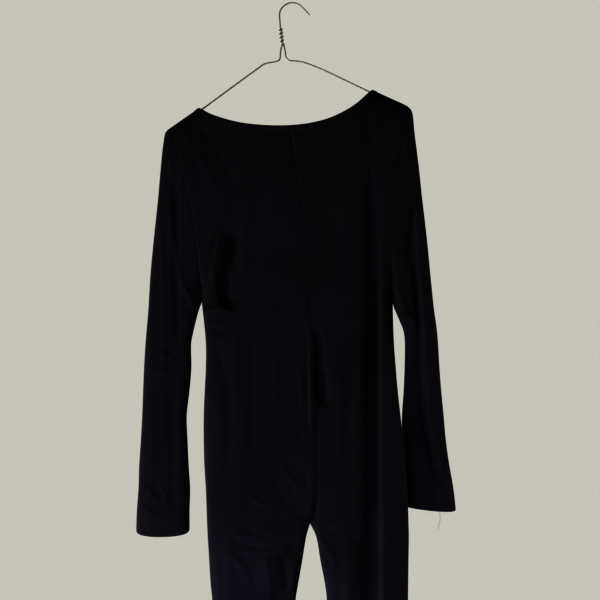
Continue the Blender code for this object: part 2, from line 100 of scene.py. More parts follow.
ROUNDNESS = 2.4  # of a flattened tube's section, 2 being an ellipse
CHEST_DEPTH = 20.0  # half depth of chest and sleeve heads together
UNDERARM_DEPTH = 21.0  # half depth of the body alone, at the underarm points
SHOULDER_ROLL = 95.0  # below the hanger's arm, over which the cloth opens out
FOLD_FREE = 8.0  # half depth from which a fold has its whole height
THINNEST = 3.0  # half depth that a trough always leaves
TINY = 1e-9  # keeps a division from meeting zero

NECK_LEFT, SHOULDER_LEFT_SLOPE = (-147.8, -171.8), 0.70
NECK_RIGHT, SHOULDER_RIGHT_SLOPE = (136.5, -142.1), -0.453
NECK_CENTRE_X = 2.0
ARMHOLE_TOP_X = {-1: -194.0, 1: 186.0}
BINDING_TURN = 0.15  # share of half the neckline over which the band turns into the shoulder
SHOULDER_SHARE = 1 / 3  # share of a panel's columns that end on the shoulder seam
NECK_CROWDING = 1.6  # columns lie closer towards the neck points


def curve(xs, ys):
    """One smooth curve through the given points, level beyond its ends."""
    order = np.argsort(xs)
    xs, ys = np.array(xs, float)[order], np.array(ys, float)[order]
    slopes = np.empty_like(ys)
    slopes[1:-1] = (ys[2:] - ys[:-2]) / (xs[2:] - xs[:-2])
    slopes[0] = (ys[1] - ys[0]) / (xs[1] - xs[0])
    slopes[-1] = (ys[-1] - ys[-2]) / (xs[-1] - xs[-2])

    def at(x):
        x = np.clip(np.asarray(x, float), xs[0], xs[-1])
        i = np.clip(np.searchsorted(xs, x) - 1, 0, len(xs) - 2)
        run = xs[i + 1] - xs[i]
        t = (x - xs[i]) / run
        return (
            ys[i] * (1 + 2 * t) * (1 - t) ** 2
            + ys[i + 1] * t * t * (3 - 2 * t)
            + run * slopes[i] * t * (1 - t) ** 2
            + run * slopes[i + 1] * t * t * (t - 1)
        )

    return at


def sections(columns, *rows):
    """Named columns of a table as smooth curves of height, its first column."""
    heights = [row[0] for row in rows]
    curves = [curve(heights, values) for values in list(zip(*rows))[1:]]
    return dict(zip(columns.split(), curves))


NECKLINE = curve(
    (-147.8, -125.4, -83, -41.3, 0.8, 40.4, 73.6, 106.8, 136.5),
    (-171.8, -184, -196.7, -201.8, -202.2, -197.3, -187.1, -168.6, -142.1),
)
UPPER = sections(
    "outer-1 armhole-1 seam armhole1 outer1",
    (-490, -230.4, -143.5, 33, 170.5, 237), (-445, -227.7, -147.2, 29.5, 168.6, 232.5),
    (-400, -223.6, -151, 27.5, 168, 228.2), (-360, -219.4, -156.5, 24.5, 169.5, 223.8),
    (-320, -215.2, -164, 20, 173.4, 219), (-280, -211.8, -174, 14, 179, 214.8),
    (-240, -208, -184.5, 7, 184, 210), (-205, -203.8, -194, 2, 186, 205.8),
    (-165, -203.8, -194, 2, 186, 203.8),
)
TRUNK = sections(
    "side-1 seam side1 depth",
    (-855, -134.5, 34.7, 196.5, 20), (-835, -135.2, 41.5, 196, 21),
    (-800, -136.5, 47.5, 194.5, 22), (-760, -139, 47.8, 191.5, 23),
    (-720, -140, 45.5, 188, 23), (-680, -140, 44, 183.5, 23),
    (-640, -138.5, 42.5, 179, 22), (-600, -136.5, 41, 175.5, 22),
    (-560, -136.5, 39, 172.5, 22), (-520, -140, 35.5, 171, 22),
    (-490, -143.5, 33, 170.5, 21),
)
LEGS = sections(
    "side-1 inseam-1 inseam1 side1 depth",
    (-1615, -115, -9, 80, 187, 14), (-1480, -118, -4, 76, 190.5, 15),
    (-1330, -120, 0, 73, 193, 15.5), (-1190, -121, 1.5, 71, 194, 16),
    (-1080, -123.5, 4.5, 68, 195, 17), (-982, -126, 10.5, 63, 195.7, 17.5),
    (-957, -128.5, 14.5, 60, 196, 18), (-917, -131, 21.5, 52.3, 196.5, 18.5),
    (-878, -133.4, 28, 45.4, 197, 19), (-855, -134.5, 34.7, 34.7, 196.5, 20),
)
SLEEVES = sections(
    "outer-1 inner-1 inner1 outer1 depth set_back",
    (-880, -251.6, -164.5, 191.5, 278.5, 12, 19), (-837, -250.3, -164.7, 191.5, 277.4, 12, 19),
    (-800, -247.6, -163.8, 192.2, 273.2, 12, 19), (-760, -246.3, -166.2, 190.6, 266.1, 12, 18.5),
    (-720, -243.7, -168, 188.6, 260.5, 11.5, 17.5), (-680, -241.5, -169.4, 188.6, 256.5, 11.5, 14),
    (-640, -240, -165, 190.7, 252, 11.5, 9), (-600, -238.4, -161.7, 191.9, 248.2, 11.5, 4.5),
    (-560, -236, -162, 192, 245.4, 12, 1), (-541, -234.4, -158.4, 190, 243.6, 12.5, 0),
    (-521, -232.6, -153.6, 182.4, 241, 13, 0), (-503, -231.2, -148.6, 174.6, 238.4, 13.5, 0),
    (-490, -230.4, -143.5, 170.5, 237, 14, 0),
)
SHOULDER_CORNER = {
    -1: ((-194, -204.1), (-200, -208.6), (-203.3, -213), (-205, -220), (-208, -240)),
    1: ((186, -164.5), (193.4, -168.2), (199.2, -172.8), (202.8, -179.6), (204.4, -190)),
}
CUFF_DIP = {-1: 9.5, 1: 4}
CUFF_INNER = {-1: -865.6, 1: -828.5}
CUFF_OUTER = {-1: -866.6, 1: -837.2}

# ---- creases
# From x, z to x, z; half width; height, negative for a trough; how far its middle swings aside.
FRONT_RELIEF = (
    # long folds
    (154.5, -430, 155, -1480, 4.8, 6, 0), (134, -270, 135, -1440, 13, -9.5, 0),
    (145, -400, 145.5, -1460, 6, -5, 0), (176, -330, 180, -1480, 16, 2.5, 0),
    (47, -540, 50, -655, 9, -6.5, 0), (58, -600, 60, -660, 8, -4, 0),
    (-96, -500, -90, -372, 17, -8.5, 5), (-106, -498, -98, -448, 9, -4.5, 2),
    (-124, -474, -108, -380, 5, 3.5, 2), (-126, -452, -110, -385, 5, 4, 0),
    (8, -880, -22, -985, 12, -5, 0), (96, -880, 98, -1120, 12, 3.5, 0),
    (-185, -285, -184, -560, 7, -4, 0), (209, -340, 225, -545, 5, 4, 0),
    (224, -530, 236, -690, 5.5, 4.5, 0), (238, -690, 262, -790, 5.5, 4.5, 0),
    (206, -430, 216, -560, 6, -4, 0), (212, -560, 224, -700, 7, -4.5, 0),
    (226, -700, 246, -800, 7, -4, 0),
    # drag lines from the hanger's ends and the neck points
    (-176, -212, -118, -318, 5, 1.3, 7), (-160, -196, -92, -292, 6, -1.5, 8),
    (-148, -190, -128, -330, 4, 1, -5), (172, -180, 118, -300, 5.5, 1.4, -7),
    (158, -172, 92, -262, 6, -1.4, -8), (140, -165, 136, -300, 4.5, 1.1, 4),
    # soft hang below the neckline
    (-52, -230, -64, -430, 9, -1.6, 6), (-24, -224, -34, -380, 7, 1.2, 4),
    (58, -226, 78, -420, 9, -1.7, -6), (84, -222, 100, -400, 7, 1.3, -5),
    # underarm drags
    (-136, -420, -116, -368, 3.6, 2.2, 2), (-139, -455, -106, -404, 4, 2.4, 3),
    (-124, -438, -104, -386, 2.6, -1.6, 2), (-138, -482, -92, -446, 4.5, 2.2, 4),
    (-128, -468, -84, -430, 3.5, -1.8, 3), (-140, -514, -96, -504, 6, 3.6, 5),
    (-138, -534, -104, -542, 4.5, -2.2, 3), (166, -470, 128, -424, 5, 2, -3),
    (167, -500, 122, -478, 5, 2.1, -3), (168, -524, 136, -528, 4.5, -1.7, -2),
    # waist and hips
    (-118, -560, -100, -760, 9, -2.4, 10), (-92, -520, -82, -830, 8, 2.2, 8),
    (-58, -540, -48, -800, 10, -2.2, -6), (-24, -470, -12, -690, 8, 1.6, -5),
    (18, -600, 26, -760, 5, 1.9, 3), (34, -520, 36, -835, 4.5, 2, 2),
    (37, -540, 36, -690, 3.6, 2.6, 0), (76, -560, 74, -800, 7, 2.4, 4),
    (104, -480, 104, -860, 8, -1.8, -4), (168, -600, 176, -900, 5, -1.6, 3),
    # fork and thighs
    (30, -846, -6, -884, 4, 2.2, -3), (28, -832, -34, -852, 4.5, -1.8, 4),
    (-16, -748, 24, -738, 4, 1.5, 2), (-90, -872, -32, -886, 4, 1.9, 5),
    (-80, -884, -40, -894, 3, -1.7, -3), (-70, -898, -30, -900, 3, 1.4, 3),
    (-64, -810, -42, -826, 3.5, 1.8, 2), (-58, -822, -40, -834, 2.8, -1.4, 1),
    (-14, -760, 14, -800, 3.6, 1.8, 3), (-4, -752, 24, -772, 3, -1.4, 2),
    (-40, -905, -30, -975, 5, 2, 3), (-100, -900, -60, -960, 5, 1.6, 6),
    (-96, -858, -76, -880, 2.8, 1.6, 2), (-66, -862, -50, -878, 2.6, -1.5, -1.5),
    (-48, -868, -28, -866, 2.6, 1.4, 2), (-92, -912, -70, -906, 2.8, -1.3, 2),
    (-26, -780, -8, -822, 3, -1.6, 2), (-18, -900, -4, -965, 7, -3.5, 3),
    (104, -884, 96, -985, 9, 3, 3), (46, -872, 78, -928, 5, 2, 4),
    (44, -850, 84, -868, 5, -1.6, -3), (-98, -860, -92, -1260, 8, 1.8, -6),
    (-60, -930, -62, -1240, 9, -1.9, 6), (-118, -900, -112, -1080, 4, 1.2, 2),
    (112, -900, 112, -1240, 6, -1.4, -3), (176, -900, 174, -1300, 6, -1.8, 3),
    # knees and below
    (-104, -1196, -52, -1214, 6, 1.3, 5), (-66, -1234, -12, -1222, 6, -1.2, -4),
    (92, -1204, 128, -1216, 6, 1.2, 5), (-74, -1290, -66, -1560, 7, 1.6, 5),
    (-38, -1260, -40, -1520, 7, -1.5, -4), (108, -1280, 112, -1570, 7, 1.5, -5),
    (164, -1440, 160, -1600, 6, 1.2, 3),
)
BACK_RELIEF = (
    # long folds
    (-86, -420, -92, -1300, 14, -8.5, 0), (-66, -520, -72, -1250, 7, 5, 0),
    (96, -600, 102, -1380, 13, -8, 0), (116, -640, 121, -1330, 6, 4, 0),
    (34, -590, 30, -720, 9, -5.5, 0), (128, -505, 112, -380, 16, -8, 0),
    (-200, -420, -206, -700, 8, 3.5, 0), (224, -560, 236, -780, 9, -3.5, 0),
    # small creases
    (-176, -214, -112, -330, 5.5, 1.3, 6), (-152, -192, -96, -280, 6, -1.4, 7),
    (174, -182, 112, -306, 5.5, 1.3, -6), (148, -168, 96, -250, 6, -1.4, -7),
    (-46, -228, -50, -470, 9, -1.7, 6), (-10, -226, -6, -420, 7, 1.2, 4),
    (72, -226, 64, -450, 9, 1.5, -6), (-138, -470, -94, -430, 5, 2.1, 4),
    (-139, -508, -98, -498, 5.5, 2.3, 4), (166, -462, 124, -416, 5, 2, -3),
    (168, -500, 126, -486, 5, 2.3, -3), (168, -530, 128, -540, 5, -1.8, -3),
    (-118, -560, -112, -860, 7, -1.9, 8), (-40, -520, -34, -780, 9, -2.1, -6),
    (-6, -560, 2, -800, 7, 1.9, 4), (66, -520, 68, -800, 8, 2.2, 4),
    (136, -560, 142, -880, 8, 1.9, -5), (30, -838, -28, -886, 5, -2.2, -5),
    (40, -838, 92, -882, 5, -2.2, 5), (22, -862, -40, -918, 5, 2, -5),
    (46, -862, 96, -920, 5, 2, 5), (-100, -900, -98, -1180, 7, 1.7, 4),
    (-34, -960, -36, -1260, 8, -1.6, -5), (124, -920, 128, -1300, 8, 1.8, 5),
    (160, -900, 158, -1240, 7, -1.6, -4), (-106, -1190, -30, -1206, 6, -1.4, 6),
    (90, -1196, 170, -1212, 6, -1.4, 6), (-84, -1240, -30, -1228, 5, 1.2, -4),
    (-56, -1300, -58, -1580, 8, 1.5, 4), (142, -1320, 140, -1590, 8, -1.5, -4),
)
SLEEVE_CREASES = {
    -1: (
        (-206, -236, -186, -300, 4, 1.2, 3), (-200, -300, -168, -480, 6, 1.5, -5),
        (-214, -330, -206, -620, 5, 1.5, 4), (-170, -470, -152, -506, 4, 2, 2),
        (-196, -500, -160, -528, 5, 1.8, 3), (-226, -560, -172, -592, 6, -1.6, 5),
        (-236, -604, -182, -616, 5, 1.5, 4), (-190, -640, -186, -840, 7, -1.7, -4),
        (-226, -660, -230, -850, 6, 1.4, 3), (-242, -796, -216, -818, 2.6, 1.8, 4),
        (-240, -812, -206, -806, 2.6, 1.5, -4), (-236, -822, -212, -834, 2.4, -1.5, -3),
        (-246, -830, -224, -838, 2.4, 1.5, 2), (-214, -786, -200, -822, 2.8, 1.4, 2),
    ),
    1: (
        (202, -200, 188, -280, 4, 1.2, -3), (206, -300, 188, -470, 6, -1.4, 4),
        (216, -300, 214, -440, 4, 1.5, -3), (180, -470, 196, -520, 4, 1.9, -2),
        (190, -505, 226, -540, 5, 1.6, -3), (204, -570, 206, -720, 5, -1.6, 3),
        (238, -640, 250, -800, 5, -1.5, 4), (242, -716, 258, -740, 2.8, 2, 2),
        (240, -736, 262, -770, 2.8, 2, -2), (246, -752, 268, -790, 2.8, -1.6, 2),
        (236, -768, 252, -806, 3, 1.8, 2), (226, -780, 240, -820, 3, -1.5, 2),
        (206, -700, 214, -820, 6, 1.4, -3),
    ),
}

REAR_CREASE_DROP = 24.0  # a sleeve's creases lie lower on its back

FOLD_OVERRUN, FOLD_FADE = 0.1, 0.25  # shares of its length that a fold runs on, and dies out over
# Turns a millimetre across and up, the layer of noise that is read, and height.
RIPPLES = ((0.021, 0.0065, 0, 1.5), (0.075, 0.03, 9, 0.35))
BACK_LAYER = 40.0
GATHER_HEIGHT, GATHER_REACH = 0.28, 9.0
SEAM_DIP, SEAM_DIP_REACH = 0.85, 1.7
CENTRE_SEAM_FADE = 12.0  # above the crotch
CENTRE_SEAM_LEFT, PRESSED_OVER = 0.3, 150.0  # share that shows once it is pressed, above the chest
ARMHOLE_SEAM_START, ARMHOLE_SEAM_FADE = 20.0, 30.0


def ease(share):
    """0 to 1 with level ends."""
    share = np.clip(share, 0.0, 1.0)
    return share * share * (3.0 - 2.0 * share)


def mix(a, b, share):
    return a + (b - a) * share


def arch(x, left, right):
    """Section of a flattened tube: 0 at both edges, 1 midway."""
    across = np.minimum(np.abs(2.0 * (x - left) / (right - left) - 1.0), 1.0)
    return (1.0 - across**ROUNDNESS) ** (1.0 / ROUNDNESS)


def below_shoulder(x, z, neck, slope):
    return (neck[1] + slope * (x - neck[0]) - z) / math.hypot(1.0, slope)


def roll(drop):
    """How the cloth opens out as it leaves the hanger's arm."""
    return np.sqrt(1.0 - np.exp(-np.maximum(drop, 0.0) / SHOULDER_ROLL))


def hung_depth(x, z):
    """Half depth of chest and sleeve heads together, as they hang from the hanger's arms."""
    over = roll(below_shoulder(x, z, NECK_LEFT, SHOULDER_LEFT_SLOPE))
    over = over * roll(below_shoulder(x, z, NECK_RIGHT, SHOULDER_RIGHT_SLOPE))
    across = arch(x, UPPER["outer-1"](z), UPPER["outer1"](z))
    hollow = np.minimum(over, across) > TINY
    over, across = np.where(hollow, over, 1.0), np.where(hollow, across, 1.0)
    return np.where(hollow, CHEST_DEPTH * (over**-4 + across**-4) ** -0.25, 0.0)


def side_edge(side, z):
    """X of the side seam."""
    return np.where(z <= CROTCH, LEGS[f"side{side}"](z), TRUNK[f"side{side}"](z))


def inner_edge(side, z):
    """X of the inseam, and of the centre seam above the crotch."""
    seam = np.where(z <= CHEST, TRUNK["seam"](z), UPPER["seam"](z))
    return np.where(z <= CROTCH, LEGS[f"inseam{side}"](z), seam)


def body_depth(side, x, z):
    """Half depth of the trunk, and of one leg below the fork."""
    chest = UNDERARM_DEPTH * arch(x, UPPER["armhole-1"](z), UPPER["armhole1"](z))
    chest = mix(chest, hung_depth(x, z), ease((z - CHEST) / ARMPIT_REACH))
    whole = arch(x, TRUNK["side-1"](z), TRUNK["side1"](z))
    leg = arch(x, side_edge(side, z), inner_edge(side, z))
    trunk = TRUNK["depth"](z) * mix(whole, leg, ease((FORK_TOP - z) / (FORK_TOP - CROTCH)))
    return np.where(z > CHEST, chest, np.where(z > CROTCH, trunk, LEGS["depth"](z) * leg))


def sleeve_edges(side, z):
    outer = np.where(z < CHEST, SLEEVES[f"outer{side}"](z), UPPER[f"outer{side}"](z))
    inner = np.where(z < CHEST, SLEEVES[f"inner{side}"](z), UPPER[f"armhole{side}"](z))
    return outer, inner


def sleeve_depth(side, x, z):
    alone = SLEEVES["depth"](z) * arch(x, *sleeve_edges(side, z))
    return mix(alone, hung_depth(x, z), ease((z - CHEST) / ARMPIT_REACH))


def sleeve_set_back(side, z):
    """How far a sleeve's middle lies behind the trunk's: the right one hangs behind the hip."""
    return SLEEVES["set_back"](z) if side > 0 else 0.0


def fold_height(folds, x, z):
    """Sum of soft ridges and troughs, each along its own slightly bowed line."""
    total = np.zeros_like(x)
    for x0, z0, x1, z1, width, height, bow in folds:
        run_x, run_z = x1 - x0, z1 - z0
        length = math.hypot(run_x, run_z)
        along = ((x - x0) * run_x + (z - z0) * run_z) / length**2
        aside = ((x - x0) * -run_z + (z - z0) * run_x) / length
        aside = aside - bow * 4.0 * along * (1.0 - along)
        started = ease((along + FOLD_OVERRUN) / FOLD_FADE)
        ended = ease((1 + FOLD_OVERRUN - along) / FOLD_FADE)
        total += height * (started * ended) * np.exp(-((aside / width) ** 2))
    return total


def freedom(plain):
    """How free the cloth is to stand off its plain section: not at all at the closed edges."""
    return np.minimum(1.0, plain / FOLD_FREE)


def fold_depth(plain, folds, x, z):
    """The half depth with its folds and creases."""
    folded = plain + fold_height(folds, x, z) * freedom(plain)
    return np.maximum(folded, np.minimum(plain, THINNEST))


def ripple(x, z, back):
    """The slight unevenness of jersey that has been worn and washed."""
    total = np.zeros_like(x)
    for across, up, layer, height in RIPPLES:
        layer = layer + (BACK_LAYER if back else 0.0)
        waves = [noise.noise((u * across, layer, w * up)) for u, w in zip(x, z)]
        total += height * np.array(waves)
    return total


def pucker(distance, along):
    """A sewn seam draws the cloth in, and leaves small unequal gathers beside it."""
    gathers = np.sin(along / 2.9 + 1.7 * np.sin(along / 17.0)) * np.sin(along / 41.0 + 1.0)
    gathers = GATHER_HEIGHT * gathers * np.exp(-((distance / GATHER_REACH) ** 2))
    return gathers - SEAM_DIP * np.exp(-((distance / SEAM_DIP_REACH) ** 2))


def centre_pucker(side, x, z, free):
    pressed = mix(1.0, CENTRE_SEAM_LEFT, ease((z - CHEST) / PRESSED_OVER))
    shown = ease((z - CROTCH) / CENTRE_SEAM_FADE) * pressed
    return pucker(x - inner_edge(side, z), z) * free * shown


def armhole_pucker(side, x, z, free):
    shown = ease((z - CHEST - ARMHOLE_SEAM_START) / ARMHOLE_SEAM_FADE)
    return pucker(x - UPPER[f"armhole{side}"](z), z) * free * shown


# ---- edges of the pieces
AT_EDGE = 1e-6  # shares this close to an edge are on it
ON_LINE = 1e-3  # and heights this close to a line
ARMHOLE_JOIN, JOIN_OVER = 0.8, 0.2  # share from which an armhole bends to the shoulder seam


def at_ends(share):
    return (share < AT_EDGE) | (share > 1 - AT_EDGE)


def unit(vectors, axis=0):
    return vectors / np.linalg.norm(vectors, axis=axis, keepdims=True)


def neck_point(share):
    """Points of the finished neckline, and the direction across the band there."""
    x = mix(NECK_LEFT[0], NECK_RIGHT[0], share)
    rise = (NECKLINE(x + 1.0) - NECKLINE(x - 1.0)) / 2.0
    across = unit(np.stack([rise, -np.ones_like(rise)]))
    left = unit(np.array([[-1.0], [-SHOULDER_LEFT_SLOPE]]))
    right = unit(np.array([[1.0], [SHOULDER_RIGHT_SLOPE]]))
    shoulder = np.where(share < 0.5, left, right)
    across = mix(shoulder, across, ease(2 * np.minimum(share, 1 - share) / BINDING_TURN))
    return np.stack([x, NECKLINE(x)]), unit(across)


def neck_share(side, along):
    centre = (NECK_CENTRE_X - NECK_LEFT[0]) / (NECK_RIGHT[0] - NECK_LEFT[0])
    return mix(0.0 if side < 0 else 1.0, centre, along**NECK_CROWDING)


def panel_top(side, share):
    """A panel's top edge: shoulder seam from the armhole to the binding, then the neckline."""
    edge = BINDING_WIDTH + SEAM_GAP
    neck, end = (NECK_LEFT, 0.0) if side < 0 else (NECK_RIGHT, 1.0)
    slope = SHOULDER_LEFT_SLOPE if side < 0 else SHOULDER_RIGHT_SLOPE
    corner, across = neck_point(np.full(1, end))
    corner = corner + across * edge
    tip_x = ARMHOLE_TOP_X[side]
    tip = np.array([tip_x, neck[1] + slope * (tip_x - neck[0])])[:, None]
    shoulder = mix(tip, corner, np.minimum(share / SHOULDER_SHARE, 1.0))
    along = np.clip((share - SHOULDER_SHARE) / (1 - SHOULDER_SHARE), 0.0, 1.0)
    point, across = neck_point(neck_share(side, along))
    return np.where(share <= SHOULDER_SHARE, shoulder, point + across * edge)


def armhole(side, share):
    """The armhole from the underarm point up to the shoulder."""
    top = panel_top(side, np.zeros(1))
    z = mix(CHEST, top[1], share)
    x = UPPER[f"armhole{side}"](z)
    return np.stack([mix(x, top[0], ease((share - ARMHOLE_JOIN) / JOIN_OVER)), z])


def centre_seam(share):
    """The centre seam from the chest line up to the neckline."""
    z = mix(CHEST, panel_top(-1, np.ones(1))[1], share)
    return np.stack([UPPER["seam"](z), z])


def patch(a, b, bottom, top, left, right):
    """Points of the sheet that four edges bound."""
    zero, one = np.zeros(1), np.ones(1)
    flat = mix(mix(bottom(zero), bottom(one), a), mix(top(zero), top(one), a), b)
    return mix(left(b), right(b), a) + mix(bottom(a), top(a), b) - flat


def across_panel(share):
    """Columns lie closer at both seams, where the section turns."""
    return (1.0 - np.cos(math.pi * share)) / 2.0


def between(stations, share):
    """Values between evenly numbered stations."""
    return np.interp(share * (len(stations) - 1), np.arange(len(stations)), stations)


def round_and_back(a):
    """Once round a flat tube: whether on its back, and how far across from where it began."""
    back = a > 0.5
    return back, np.where(back, 2 * (1 - a), 2 * a)


# ---- laying out the panels
# Rows: the turned hem's inner layer, its fold, then up to the chest line and on to the top edge.
LAYER_ROWS = 3
HEM_ROWS = 9  # the inner layer and the fold together
TRUNK_ROWS = 360
TOP_ROWS = 104
CHEST_ROW = HEM_ROWS + TRUNK_ROWS
PANEL_COLUMNS = 72
TOP_STATIONS = tuple(1.0 - (1.0 - k / 14) ** 1.6 for k in range(15))


def turned_edge(row):
    """For rows 0 to HEM_ROWS: height above the hem's edge, and how far inside the outer layer."""
    layer = row < LAYER_ROWS
    fold = math.pi * np.clip((row - LAYER_ROWS) / (HEM_ROWS - LAYER_ROWS), 0.0, 1.0)
    rounded = TURN / 2 * (1.0 - np.sin(fold)) + FOLD_LIFT
    height = np.where(layer, mix(HEM_DEPTH, FOLD_TOP, row / LAYER_ROWS), rounded)
    inside = np.where(layer, TURN, TURN / 2 * (1.0 + np.cos(fold)))
    return height, inside


def middle_and_half(left, right):
    """Middle and half width between two edges."""
    return (left + right) / 2, np.abs(left - right) / 2


def tucked(deep, inside, across):
    """Half depth of the turned-up layer, which lies inside the outer one."""
    return np.maximum(deep - inside * np.sin(math.pi * across) ** 0.5, 0.0)


def panel_outline(side, a, row):
    """X and z of a panel's points: level rows up to the chest line, above it a patch."""

    def chest_line(t):
        x = mix(side_edge(side, CHEST), inner_edge(side, CHEST), across_panel(t))
        return np.stack([x, 0 * t + CHEST])

    height, _ = turned_edge(np.minimum(row, HEM_ROWS))
    up = np.clip((row - HEM_ROWS) / TRUNK_ROWS, 0.0, 1.0)
    z = np.where(row < HEM_ROWS, HEM + height, mix(HEM + FOLD_TOP, CHEST, up))
    x = mix(side_edge(side, z), inner_edge(side, z), across_panel(a))
    share = between(TOP_STATIONS, np.clip((row - CHEST_ROW) / TOP_ROWS, 0.0, 1.0))
    upper = patch(
        a, share, chest_line, lambda t: panel_top(side, t), lambda t: armhole(side, t), centre_seam
    )
    low = row <= CHEST_ROW
    return np.where(low, x, upper[0]), np.where(low, z, upper[1])


def panel_layout(side, back):
    """Placing function of a body panel: columns from side to centre, rows from hem to shoulder."""

    def place(column, row):
        a = column / PANEL_COLUMNS
        x, z = panel_outline(side, a, row)
        plain = body_depth(side, x, z)
        free = freedom(plain)
        deep = fold_depth(plain, BACK_RELIEF if back else FRONT_RELIEF, x, z)
        deep = deep + ripple(x, z, back) * free
        deep = deep + centre_pucker(side, x, z, free) + armhole_pucker(side, x, z, free)

        at_side, at_centre, at_top = a < AT_EDGE, a > 1 - AT_EDGE, row > CHEST_ROW + TOP_ROWS - 0.5
        above_chest = z > CHEST + ON_LINE
        side_seam = at_side & ~above_chest
        inseam = at_centre & (z < CROTCH + ON_LINE)
        shoulder_seam = at_top & (a <= SHOULDER_SHARE + AT_EDGE)
        deep = np.where(side_seam | inseam | shoulder_seam, 0.0, deep)

        inside = np.where(row < HEM_ROWS, turned_edge(np.minimum(row, HEM_ROWS))[1], 0.0)
        middle, half = middle_and_half(side_edge(side, z), inner_edge(side, z))
        x = middle + (x - middle) * (1.0 - inside / half)
        deep = tucked(deep, inside, across_panel(a))

        gap = SEAM_GAP / 2
        x = x + side * gap * at_centre - side * gap * (at_side & above_chest)
        y = deep + gap
        return np.stack([x, y if back else -y, z], axis=1)

    return place


# ---- laying out the sleeves
SLEEVE_COLUMNS = 96
SLEEVE_ROWS = 224
ARMHOLE_STATIONS = (0.0, 0.13, 0.28, 0.44, 0.6, 0.75, 0.87, 0.945, 0.985, 1.0)
CUFF_DIP_SHAPE = 0.8
RING_STATIONS = (
    0.0, 0.012, 0.028, 0.055, 0.09, 0.13, 0.17, 0.21, 0.255, 0.30, 0.345, 0.39, 0.435, 0.48, 0.53,
    0.58, 0.63, 0.68, 0.73, 0.78, 0.83, 0.88, 0.94, 1.0,
)


def sleeve_outer(side, share):
    """The sleeve's outer edge from the armhole's top, over the hanger's end, to the cuff."""
    corner = SHOULDER_CORNER[side]
    z = mix(corner[0][1], CUFF_OUTER[side], share)
    over = curve([p[1] for p in corner], [p[0] for p in corner])(z)
    return np.stack([np.where(z > corner[-1][1], over, sleeve_edges(side, z)[0]), z])


def sleeve_inner(side, share):
    """The underarm seam from the underarm point to the cuff."""
    z = mix(CHEST, CUFF_INNER[side], share)
    return np.stack([SLEEVES[f"inner{side}"](z), z])


def cuff(side, share):
    """The cuff's edge from outside to inside: level, with a shallow dip."""
    ends = mix(sleeve_outer(side, np.ones(1)), sleeve_inner(side, np.ones(1)), across_panel(share))
    dip = CUFF_DIP[side] * (4 * share * (1 - share)) ** CUFF_DIP_SHAPE
    return ends - np.stack([0 * dip, dip])


def sleeve_outline(side, share, down):
    """X and z of a sleeve's points, the columns spreading from the armhole to even spacing."""
    x, z = patch(
        share, down,
        lambda t: armhole(side, between(ARMHOLE_STATIONS, 1 - t)), lambda t: cuff(side, t),
        lambda t: sleeve_outer(side, t), lambda t: sleeve_inner(side, t),
    )
    even = mix(*sleeve_edges(side, z), across_panel(share))
    return np.where(at_ends(share), x, mix(x, even, ease(down / FAN))), z


def sleeve_relief(side, back):
    if not back:
        return FRONT_RELIEF + SLEEVE_CREASES[side]
    drop = REAR_CREASE_DROP
    return BACK_RELIEF + tuple(
        (x0, z0 - drop, x1, z1 - drop, width, height, -bow)
        for x0, z0, x1, z1, width, height, bow in SLEEVE_CREASES[side]
    )


def sleeve_layout(side):
    """Placing function of a sleeve: once round from its outer edge, and from armhole to cuff."""

    def place(column, row):
        back, share = round_and_back(column / SLEEVE_COLUMNS)
        down = between(RING_STATIONS, np.minimum(row / SLEEVE_ROWS, 1.0))
        x, z = sleeve_outline(side, share, down)
        plain = sleeve_depth(side, x, z)
        free = freedom(plain)
        front = fold_depth(plain, sleeve_relief(side, False), x, z)
        rear = fold_depth(plain, sleeve_relief(side, True), x, z)
        deep = np.where(back, rear, front)
        deep = deep + np.where(back, ripple(x, z, True), ripple(x, z, False)) * free
        deep = deep + armhole_pucker(side, x, z, free)
        deep = np.where(at_ends(share), 0.0, deep)

        turned = np.maximum(row - SLEEVE_ROWS, 0.0)
        height, inside = turned_edge(HEM_ROWS - turned)
        inside = np.where(turned > 0, inside, 0.0)
        middle, half = middle_and_half(*sleeve_edges(side, z))
        off_middle = x - middle
        z = z + np.where(turned > 0, height - FOLD_TOP, 0.0)
        middle, half_here = middle_and_half(*sleeve_edges(side, z))
        x = middle + off_middle * (half_here - inside) / half
        deep = tucked(deep, inside, across_panel(share))

        x = x + side * SEAM_GAP / 2 * (row < 0.5)
        y = np.where(back, deep, -deep) + sleeve_set_back(side, z)
        return np.stack([x, y, z], axis=1)

    return place


# ---- laying out the binding
BINDING_COLUMNS = 280
# The strip's section, folded in four: below the neckline's edge, and outside its middle.
BINDING_SECTION = (
    (5.6, 0.26), (7.4, 0.26), (8.9, 0.27), (9.3, 0.38), (9.42, 0.56), (9.25, 0.74), (8.7, 0.84),
    (7.0, 0.90), (5.0, 0.94), (3.0, 0.90), (1.4, 0.78), (0.55, 0.52), (0.25, 0.0), (0.55, -0.52),
    (1.4, -0.78), (3.0, -0.86), (5.0, -0.88), (7.0, -0.86), (8.7, -0.80), (9.25, -0.72),
    (9.42, -0.56), (9.3, -0.38), (8.9, -0.27), (7.4, -0.26), (5.6, -0.26),
)
BAND_SEAM_ROW = 7  # of the section, near the band's lower edge
BAND_OUTSIDE = 0.7  # points further out than this are on the gathered faces
BAND_GATHERS = 0.16


def hung_slope(x, z):
    """How the hung half depth changes across and up."""
    step = 0.5
    slope_x = (hung_depth(x + step, z) - hung_depth(x - step, z)) / (2 * step)
    slope_z = (hung_depth(x, z + step) - hung_depth(x, z - step)) / (2 * step)
    return slope_x, slope_z


